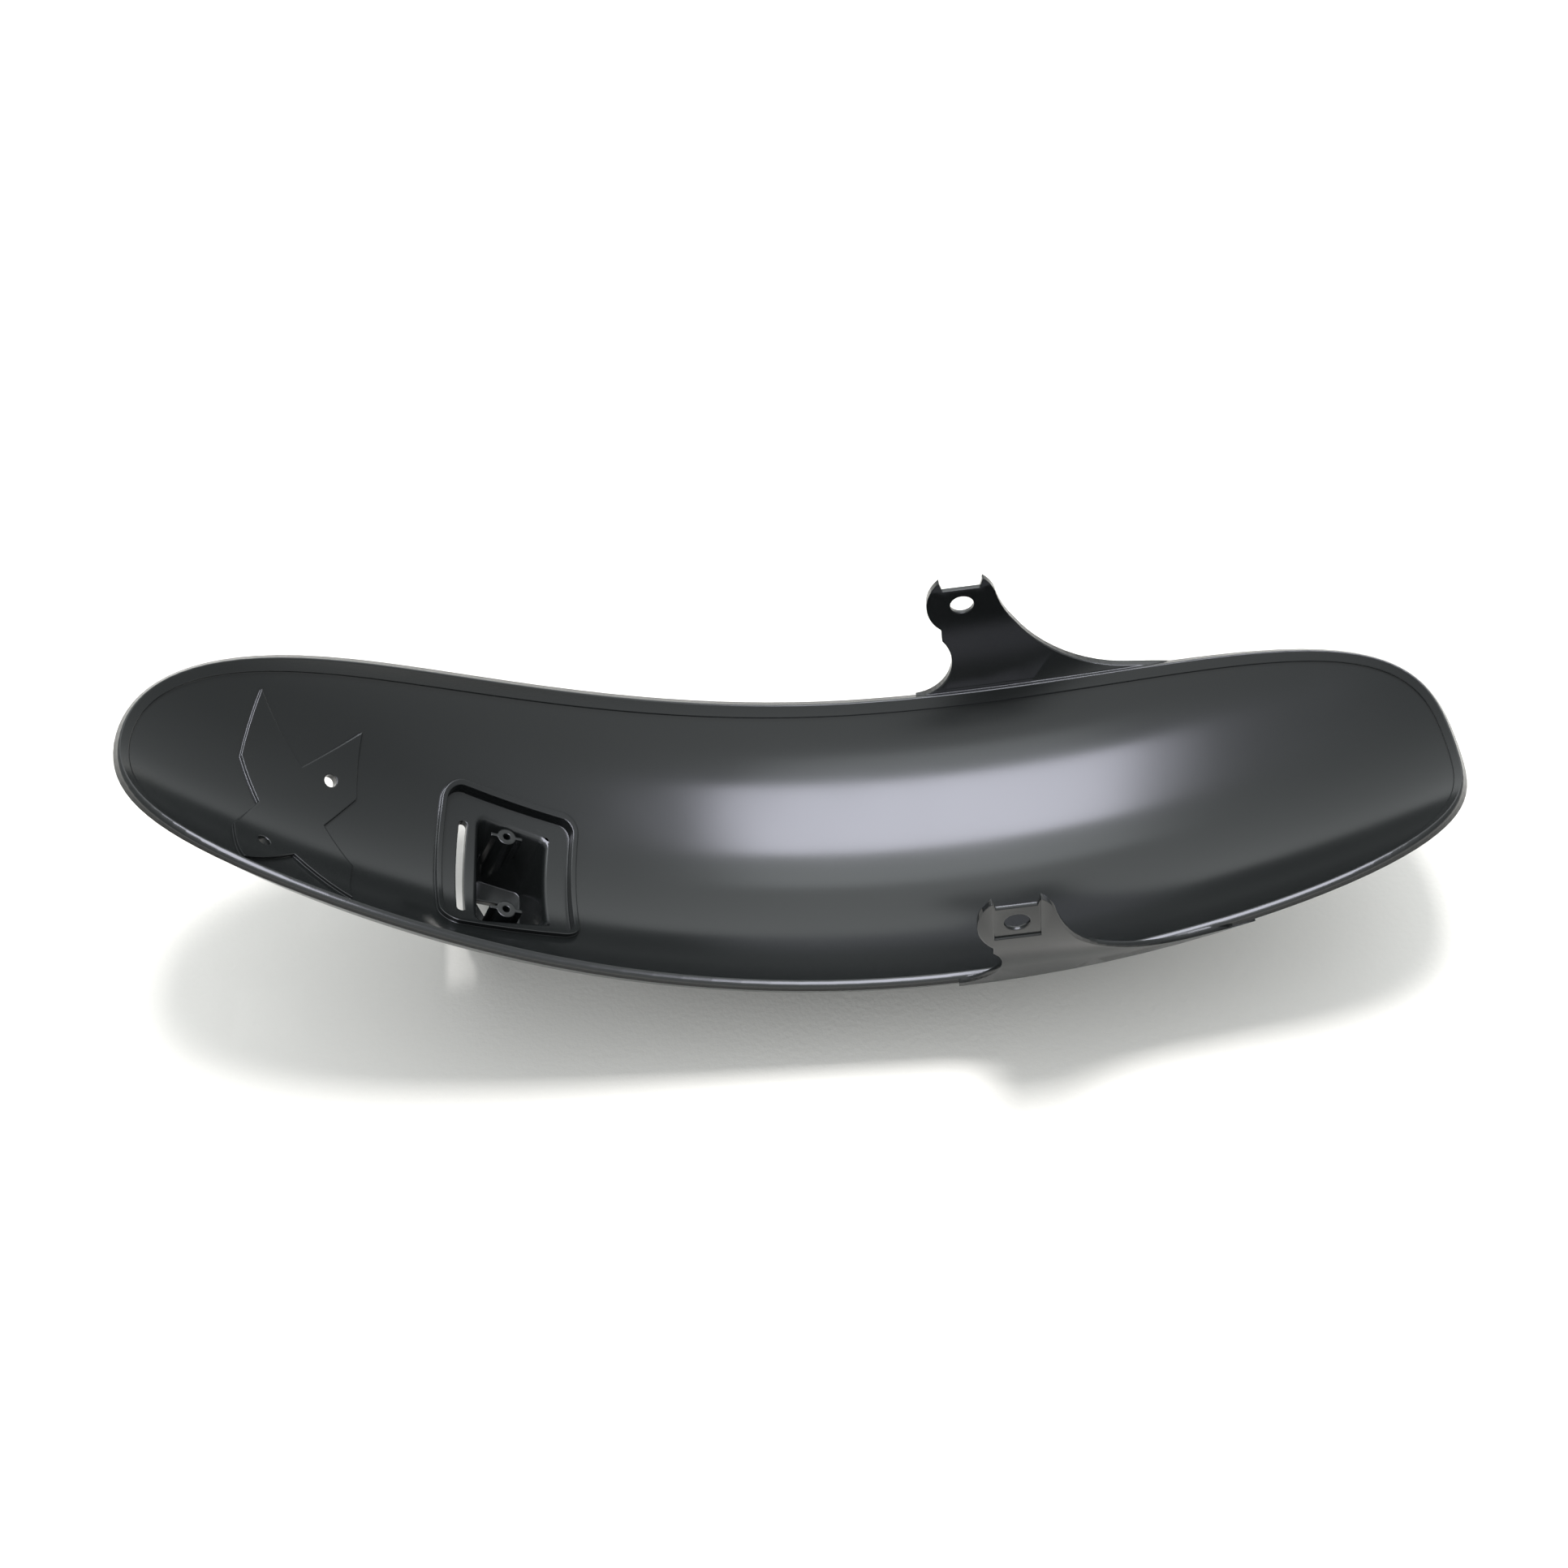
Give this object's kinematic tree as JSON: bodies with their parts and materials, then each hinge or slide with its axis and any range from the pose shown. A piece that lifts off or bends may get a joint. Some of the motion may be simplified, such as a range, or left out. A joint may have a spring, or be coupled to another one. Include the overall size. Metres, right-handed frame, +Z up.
{
  "type": "motorcycle front mudguard",
  "caption": "Long shallow plastic mudguard for a motorcycle front wheel, with a rolled rim, a bolt tab on each side and a screw pocket under the nose.",
  "frame": {"origin": "on the floor, under the middle of the part", "axes": "+X from the nose to the tail, +Y across, +Z up, with the hollow facing up"},
  "size_m": [0.5043, 0.1602, 0.1278],
  "materials": {
    "plastic": "dark grey moulded plastic with a satin sheen"
  },
  "bodies": {
    "root": {"mudguard": "plastic"}
  },
  "joints": []
}
